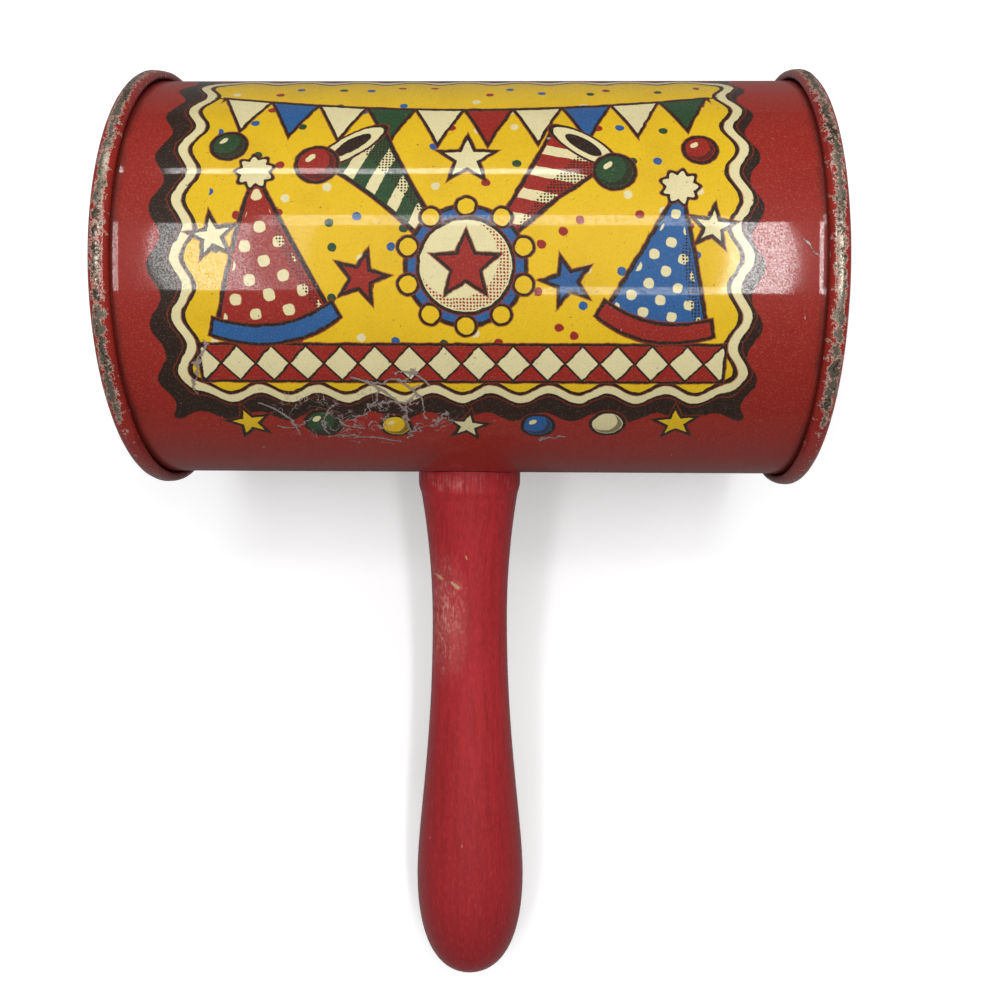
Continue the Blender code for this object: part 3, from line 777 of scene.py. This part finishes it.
def drumEnd(name, side, node, material):
    tin, gap = drum["tin"], drum["clearance"]
    layer = tin + gap
    chuckOut = drum["radius"] - tin - gap
    chuckIn = chuckOut - tin
    panelTop = halfLength - drum["sunk"]
    panelFoot = panelTop - tin
    stepAt, step, fillet = chuckIn - drum["ledge"], drum["step"], drum["fillet"]
    seamFoot = halfLength - drum["seamHigh"]
    hookIn = drum["radius"] + gap
    innerRound, outerRound, underRound = drum["innerRound"], drum["outerRound"], drum["underRound"]
    inner = (chuckIn + innerRound, halfLength - innerRound)
    outer = (rimRadius - outerRound, halfLength - outerRound)
    dropAngle = math.radians(drum["crownDrop"])
    crownEnd = seamFoot + underRound * (1 - math.sin(dropAngle))
    crownLong = halfLength - outerRound - crownEnd
    crown = crownLong * math.tan(dropAngle) / 2
    under = (rimRadius - crown - underRound * math.cos(dropAngle), seamFoot + underRound)
    roll = (hookIn + 2 * tin, seamFoot + 2 * tin)
    outline = [(0, panelTop + step)]
    outline += sweep((stepAt - step, panelTop + step), (stepAt, panelTop + step),
                     (stepAt, panelTop), (stepAt + step, panelTop), points=8)
    outline += bend((chuckIn - fillet, panelTop + fillet), fillet, 270, 360)
    outline += bend(inner, innerRound, 180, 90) + bend(outer, outerRound, 90, 0)
    outline += [(rimRadius - crown * (i / 6) ** 2, crownEnd + crownLong * (1 - i / 6)) for i in range(1, 6)]
    outline += bend(under, underRound, -drum["crownDrop"], -90)
    outline += bend(roll, 2 * tin, 270, 180)
    outline += [(hookIn, halfLength - 2 * layer), (hookIn + tin, halfLength - 2 * layer)]
    outline += bend(roll, tin, 180, 270) + bend(under, underRound - tin, -90, -drum["crownDrop"])
    outline += bend(outer, outerRound - tin, 0, 90) + bend(inner, innerRound - tin, 90, 180)
    outline += bend((chuckOut - fillet, panelFoot + fillet), fillet, 360, 270)
    outline += sweep((stepAt + step, panelFoot), (stepAt, panelFoot),
                     (stepAt, panelFoot + step), (stepAt - step, panelFoot + step), points=8)
    outline += [(0, panelFoot + step)]
    form = turnOutline(outline, drumCentre, drumWay * side, frontWay, drum["steps"])

    # knocks have pushed the bead in a little, here and there
    for vert in form.verts:
        spot = vert.co - drumCentre
        outward = Vector((0, spot.y, spot.z))
        share = (outward.length - drum["radius"]) / (rimRadius - drum["radius"])
        if share > 0:
            knock = solidNoise.noise(Vector((side, spot.y, spot.z)) * drum["knockRate"])
            vert.co -= outward.normalized() * drum["knock"] * share * max(0, knock)
    return finishPiece(name, form, material, node, toyBody)


wood = {
    "setOver": -0.0010,
    "collar": 0.0073,
    "collarLong": 0.0030,
    "collarStep": 0.0004,
    "collarEdge": 0.0006,
    "coveLong": 0.0182,
    "neck": 0.00545,
    "swellLong": 0.0402,
    "bulb": 0.00794,
    "noseLong": 0.0142,
    "noseFlat": 0.0015,
    "gap": 0.00006,
    "bore": 0.0013,
    "boreEnd": 0.0513,
    "steps": 128,
    "stain": (0.440, 0.019, 0.025),
    "dark": (0.260, 0.011, 0.015),
    "light": (0.520, 0.038, 0.044),
    # rubbed is also the colour of the painted sheen on the grip
    "rubbed": (0.740, 0.270, 0.245),
    "bare": (0.560, 0.330, 0.170),
    "collarWearAt": 27.8,
    "gripWearAndSheen": (-3.6, 47.6),
    "nicks": [
        {"spot": (-4.2, 41.9), "turn": 16, "long": 1.5, "wide": 0.36},
        {"spot": (-1.9, 42.7), "turn": 38, "long": 1.5, "wide": 0.40},
        {"spot": (-0.2, 38.6), "turn": 80, "long": 0.7, "wide": 0.24},
    ],
}


def turnedHandle(material):
    seat = drum["radius"] + wood["gap"]
    collarEnd = drum["radius"] + wood["collarLong"]
    coveAt = collarEnd + wood["collarEdge"]
    neckAt = coveAt + wood["coveLong"]
    bulbAt = neckAt + wood["swellLong"]
    noseAt = bulbAt + wood["noseLong"]
    waist, neck, bulb = wood["collar"] - wood["collarStep"], wood["neck"], wood["bulb"]
    third = wood["coveLong"] / 3
    topRings = [(wood["bore"] + (wood["collar"] - wood["bore"]) * i / 8, seat) for i in range(9)]
    outline = [(0, wood["boreEnd"]), (wood["bore"], wood["boreEnd"])] + topRings
    outline += sweep((wood["collar"], collarEnd - 0.0015), (wood["collar"], collarEnd - 0.0003),
                     (waist + 0.0001, coveAt - 0.0007), (waist, coveAt), points=12)
    outline += sweep((waist, coveAt), (waist - (waist - neck) * 2 / 3, coveAt + third),
                     (neck, neckAt - third), (neck, neckAt))[1:]
    outline += sweep((neck, neckAt), (neck, neckAt + 0.48 * wood["swellLong"]),
                     (bulb, bulbAt - 0.20 * wood["swellLong"]), (bulb, bulbAt), points=32)[1:]
    outline += sweep((bulb, bulbAt), (bulb, bulbAt + 0.63 * wood["noseLong"]), (0.69 * bulb, noseAt),
                     (wood["noseFlat"], noseAt))[1:]
    outline += [(0, noseAt)]
    middle = drumCentre + drumWay * wood["setOver"]
    form = turnOutline(outline, middle, handleWay, frontWay, wood["steps"])
    # the top end is hollowed to the drum: its rings drop on to the drum's curve
    for vert in form.verts:
        spot = vert.co - middle
        if abs(spot.dot(handleWay) - seat) < 1e-6:
            aside = spot.dot(frontWay)
            vert.co += handleWay * (math.sqrt(seat**2 - aside**2) - seat)
    return finishPiece("turnedHandle", form, material, "handle", toyBody, 50)


nail = {"shank": 0.0010, "seat": 0.025398, "end": 0.0510, "head": 0.0028, "headThick": 0.0008,
        "headSoft": 0.00015, "point": 0.0030, "tip": 0.0002, "steps": 48}


def drivenNail(material):
    seat, end, soft = nail["seat"], nail["end"], nail["headSoft"]
    outline = [(0, seat - nail["headThick"])]
    outline += bend((nail["head"] - soft, seat - nail["headThick"] + soft), soft, -90, 0, 3)
    outline += [(nail["head"], seat), (nail["shank"], seat), (nail["shank"], end - nail["point"])]
    outline += [(nail["tip"], end), (0, end)]
    middle = drumCentre + drumWay * wood["setOver"]
    form = turnOutline(outline, middle, handleWay, frontWay, nail["steps"])
    return finishPiece("drivenNail", form, material, "handle_nail", toyBody)


washer = {"radius": 0.0060, "hole": 0.0013, "outside": 0.02645, "thick": 0.0006}


def curvedWasher(material):
    middle = drumCentre + drumWay * wood["setOver"]
    inner = washer["outside"] - washer["thick"]
    rings = [washer["hole"] + (washer["radius"] - washer["hole"]) * i / 8 for i in range(9)]
    outline = [(ring, inner) for ring in rings] + [(ring, washer["outside"]) for ring in reversed(rings)]
    form = turnOutline(outline, middle, handleWay, frontWay, 64, ring=True)
    for vert in form.verts:
        spot = vert.co - middle
        far, aside = spot.dot(handleWay), spot.dot(frontWay)
        vert.co += handleWay * (math.sqrt(far**2 - aside**2) - far)
    return finishPiece("curvedWasher", form, material, "nail_washer", toyBody)


def looseShot(material):
    for name in sorted(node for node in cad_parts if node.startswith("rattle_pellet")):
        low, high = (Vector(corner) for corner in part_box(name))
        form = bmesh.new()
        bmesh.ops.create_uvsphere(form, u_segments=32, v_segments=18, radius=(high.z - low.z) / 2)
        bmesh.ops.translate(form, verts=form.verts, vec=(low + high) / 2)
        finishPiece(name.replace("rattle_pellet", "shot"), form, material, name, name)


# studio: the lamps stand in for the window that the lacquer mirrors, with strips along its edges
studio = {
    "floorSeen": 0.98,
    "floorLift": 0.22,
    "floorFade": (0.15, 0.45),  # metres from the toy, where the floor goes over to white
    "floorMirrored": 0.20,
    "floorSize": 3.0,
    "roomSeen": 1.0,
    "roomLight": 0.33,
    "roomMirrored": 0.10,
    "lampAway": 0.72,
    "lamps": [
        {"name": "windowRight", "lean": 0, "aside": 0.1930, "wide": 0.052, "deep": 0.50, "glow": 18.0},
        {"name": "windowLeft", "lean": 0, "aside": -0.2415, "wide": 0.0780, "deep": 0.47, "glow": 10.0},
        {"name": "windowFade", "lean": 0, "aside": -0.1785, "wide": 0.0480, "deep": 0.46, "glow": 3.2},
        {"name": "upperEdge", "lean": 20, "aside": -0.012, "wide": 0.358, "deep": 0.070, "glow": 6.2},
        {"name": "lowerEdge", "lean": -18, "aside": 0.095, "wide": 0.144, "deep": 0.050, "glow": 7.0},
        {"name": "skylight", "lean": 48.5, "aside": -0.105, "wide": 0.31, "deep": 0.042, "glow": 13.0},
        {"name": "ceiling", "lean": 28, "aside": 0.28, "wide": 0.6, "deep": 0.20, "away": 0.46, "glow": 1.2,
         "mirrored": False},
        {"name": "fill", "lean": -40, "aside": 0, "wide": 1.0, "deep": 0.30, "glow": 0.3, "mirrored": False},
    ],
}


def paleFloor():
    form = bmesh.new()
    bmesh.ops.create_grid(form, x_segments=1, y_segments=1, size=studio["floorSize"] / 2)
    mesh = bpy.data.meshes.new("paleFloor")
    form.to_mesh(mesh)
    form.free()
    floor = bpy.data.objects.new("paleFloor", mesh)
    bpy.context.scene.collection.objects.link(floor)
    floor.location.z = -0.0003
    material, shader = startMaterial("paleFloor")
    seen = addNode("LightPath").outputs["Is Camera Ray"]
    dim, pale = ([studio[name]] * 3 for name in ("floorMirrored", "floorSeen"))
    plug(lay(dim, pale, seen), shader.inputs["Base Color"])
    shader.inputs["Emission Color"].default_value = (1, 1, 1, 1)
    away = vectorCalc("LENGTH", addNode("TexCoord").outputs["Object"], (0, 0, 0))
    lift = calc("MULTIPLY_ADD", rise(away, *studio["floorFade"]), 1 - studio["floorLift"], studio["floorLift"])
    plug(calc("MULTIPLY", seen, lift), shader.inputs["Emission Strength"])
    shader.inputs["Roughness"].default_value = 0.9
    shader.inputs["Specular IOR Level"].default_value = 0.0
    mesh.materials.append(material)


def lightStudio():
    world = bpy.data.worlds.new("paleRoom")
    world.use_nodes = True
    bench["tree"] = world.node_tree
    rays = addNode("LightPath").outputs
    backdrop = world.node_tree.nodes["Background"]
    backdrop.inputs["Color"].default_value = (1, 1, 1, 1)
    light = studio["roomLight"]
    level = calc("MULTIPLY_ADD", rays["Is Camera Ray"], studio["roomSeen"] - light, light)
    level = calc("MULTIPLY_ADD", rays["Is Glossy Ray"], studio["roomMirrored"] - light, level)
    plug(level, backdrop.inputs["Strength"])
    bpy.context.scene.world = world
    for lamp in studio["lamps"]:
        light = bpy.data.lights.new(lamp["name"], "AREA")
        light.shape = "RECTANGLE"
        light.size = lamp["wide"]
        light.size_y = lamp["deep"]
        light.energy = math.pi * lamp["wide"] * lamp["deep"] * lamp["glow"]
        stand = bpy.data.objects.new(lamp["name"], light)
        bpy.context.scene.collection.objects.link(stand)
        lean, away = math.radians(lamp["lean"]), lamp.get("away", studio["lampAway"])
        stand.location = drumCentre + Vector((lamp["aside"], math.sin(lean) * away, math.cos(lean) * away))
        stand.rotation_euler.x = -lean
        stand.visible_glossy = lamp.get("mirrored", True)


photoCamera = {"tilt": 6.084, "yaw": 0.954, "roll": 0.231, "lens": 38.345, "shift": -0.10,
               "right": 0.00590, "below": 0.016876, "away": 0.150389}


def setCamera():
    tilt = math.radians(photoCamera["tilt"])
    forward = Vector((0, math.sin(tilt), -math.cos(tilt)))
    upward = Vector((0, math.cos(tilt), math.sin(tilt)))
    data = bpy.data.cameras.new("photoCamera")
    data.lens = photoCamera["lens"]
    data.sensor_width = 36
    data.shift_y = photoCamera["shift"]
    data.clip_start = 0.01
    camera = bpy.data.objects.new("photoCamera", data)
    bpy.context.scene.collection.objects.link(camera)
    aimedAt = drumCentre + drumWay * photoCamera["right"] - upward * photoCamera["below"]
    camera.location = aimedAt - forward * photoCamera["away"]
    turns = [math.radians(photoCamera[name]) for name in ("tilt", "yaw", "roll")]
    camera.rotation_euler = Euler(turns, "ZYX").to_matrix().to_euler()
    bpy.context.scene.camera = camera


setCamera()
paleFloor()
lightStudio()
print("studio ready")
drumWall(lithoTin())
endTin = seamedTin()
drumEnd("rightDrumEnd", 1, "right_end_cap", endTin)
drumEnd("leftDrumEnd", -1, "left_end_cap", endTin)
turnedHandle(stainedWood())
drivenNail(plainMetal("nailSteel", (0.62, 0.61, 0.58), (0.40, 0.37, 0.33), 0.22))
curvedWasher(plainMetal("washerTin", (0.58, 0.57, 0.53), (0.36, 0.33, 0.28), 0.30))
looseShot(plainMetal("greyShot", (0.40, 0.40, 0.41), (0.22, 0.21, 0.20), 0.28))
print("pieces ready")

bpy.context.scene.view_settings.view_transform = "Standard"
bpy.context.view_layer.update()
